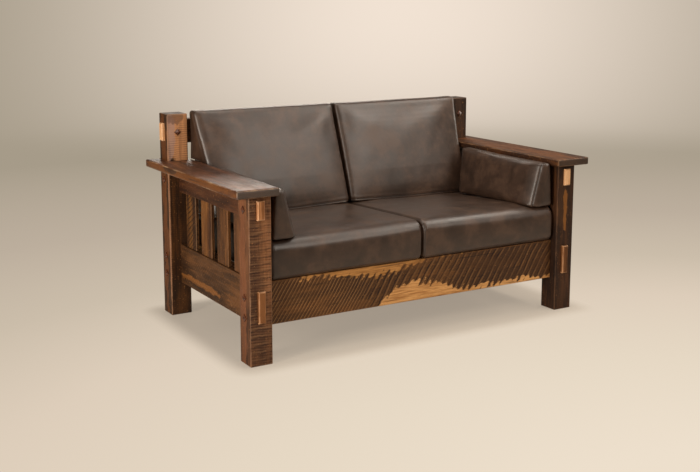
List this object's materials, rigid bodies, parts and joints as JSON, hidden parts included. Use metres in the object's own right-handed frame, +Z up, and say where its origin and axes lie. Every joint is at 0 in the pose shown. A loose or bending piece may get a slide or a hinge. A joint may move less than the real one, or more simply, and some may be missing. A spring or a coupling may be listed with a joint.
{
  "type": "loveseat",
  "caption": "Mission-style rustic wooden loveseat with slatted sides and back, a slatted seat deck, wide flat arms and loose leather seat, back and arm cushions.",
  "frame": {"origin": "on the floor under the middle of the object, at the bottom centre of its box", "axes": "+X to the sitter's left hand (the viewer's right), -Y to the front, +Z up"},
  "size_m": [1.636, 0.9, 0.8637],
  "materials": {
    "wood_leg": "satin lacquer over rough-sawn timber",
    "wood_arm": "satin lacquer over planed timber",
    "wood_panel": "satin lacquer over rough-sawn timber",
    "wood_light": "satin lacquer",
    "wood_plain": "planed, unfinished",
    "peg": "dark stained",
    "leather": "satin, softly mottled",
    "steel": "zinc plated"
  },
  "bodies": {
    "frame": {"leg_front_left": "wood_leg", "leg_front_right": "wood_leg", "post_back_left": "wood_leg", "post_back_right": "wood_leg", "arm_left": "wood_arm", "arm_right": "wood_arm", "apron_front": "wood_panel", "back_rail_lower": "wood_panel", "back_rail_upper": "wood_panel", "side_rail_lower_left": "wood_panel", "side_rail_lower_right": "wood_panel", "side_rail_upper_left": "wood_panel", "side_rail_upper_right": "wood_panel", "side_slat_left_1": "wood_panel", "side_slat_left_2": "wood_panel", "side_slat_left_3": "wood_panel", "side_slat_left_4": "wood_panel", "side_slat_right_1": "wood_panel", "side_slat_right_2": "wood_panel", "side_slat_right_3": "wood_panel", "side_slat_right_4": "wood_panel", "back_slat_1": "wood_panel", "back_slat_2": "wood_panel", "back_slat_3": "wood_panel", "back_slat_4": "wood_panel", "back_slat_5": "wood_panel", "back_slat_6": "wood_panel", "back_slat_7": "wood_panel", "back_slat_8": "wood_panel", "tenon_block_lower_left": "wood_light", "tenon_block_lower_right": "wood_light", "tenon_block_upper_left": "wood_light", "tenon_block_upper_right": "wood_light", "tenon_block_post_left": "wood_light", "tenon_block_post_right": "wood_light", "pegs_front_left": "peg", "pegs_front_right": "peg", "pegs_back_left": "peg", "pegs_back_right": "peg", "cleat_front": "wood_plain", "cleat_back": "wood_plain", "centre_stretcher": "wood_plain", "deck_slat_1": "wood_plain", "deck_slat_2": "wood_plain", "deck_slat_3": "wood_plain", "deck_slat_4": "wood_plain", "deck_slat_5": "wood_plain", "deck_slat_6": "wood_plain", "deck_slat_7": "wood_plain", "deck_screws": "steel", "arm_dowels_left": "wood_plain", "arm_dowels_right": "wood_plain"},
    "seat_cushion_left": {"seat_cushion_left": "leather"},
    "seat_cushion_right": {"seat_cushion_right": "leather"},
    "back_cushion_left": {"back_cushion_left": "leather"},
    "back_cushion_right": {"back_cushion_right": "leather"},
    "arm_cushion_left": {"arm_cushion_left": "leather"},
    "arm_cushion_right": {"arm_cushion_right": "leather"}
  },
  "joints": [
    {"name": "seat_cushion_left_slide", "type": "slide", "parent": "frame", "child": "seat_cushion_left", "axis": [0, -1, 0], "range_m": [0, 0.8]},
    {"name": "seat_cushion_right_slide", "type": "slide", "parent": "frame", "child": "seat_cushion_right", "axis": [0, -1, 0], "range_m": [0, 0.8]},
    {"name": "back_cushion_left_lift", "type": "slide", "parent": "frame", "child": "back_cushion_left", "axis": [0, 0, 1], "range_m": [0, 0.42]},
    {"name": "back_cushion_right_lift", "type": "slide", "parent": "frame", "child": "back_cushion_right", "axis": [0, 0, 1], "range_m": [0, 0.42]},
    {"name": "arm_cushion_left_slide", "type": "slide", "parent": "frame", "child": "arm_cushion_left", "axis": [0.02, -0.9994, 0.03], "range_m": [0, 0.6]},
    {"name": "arm_cushion_right_slide", "type": "slide", "parent": "frame", "child": "arm_cushion_right", "axis": [-0.02, -0.9994, 0.03], "range_m": [0, 0.6]}
  ]
}
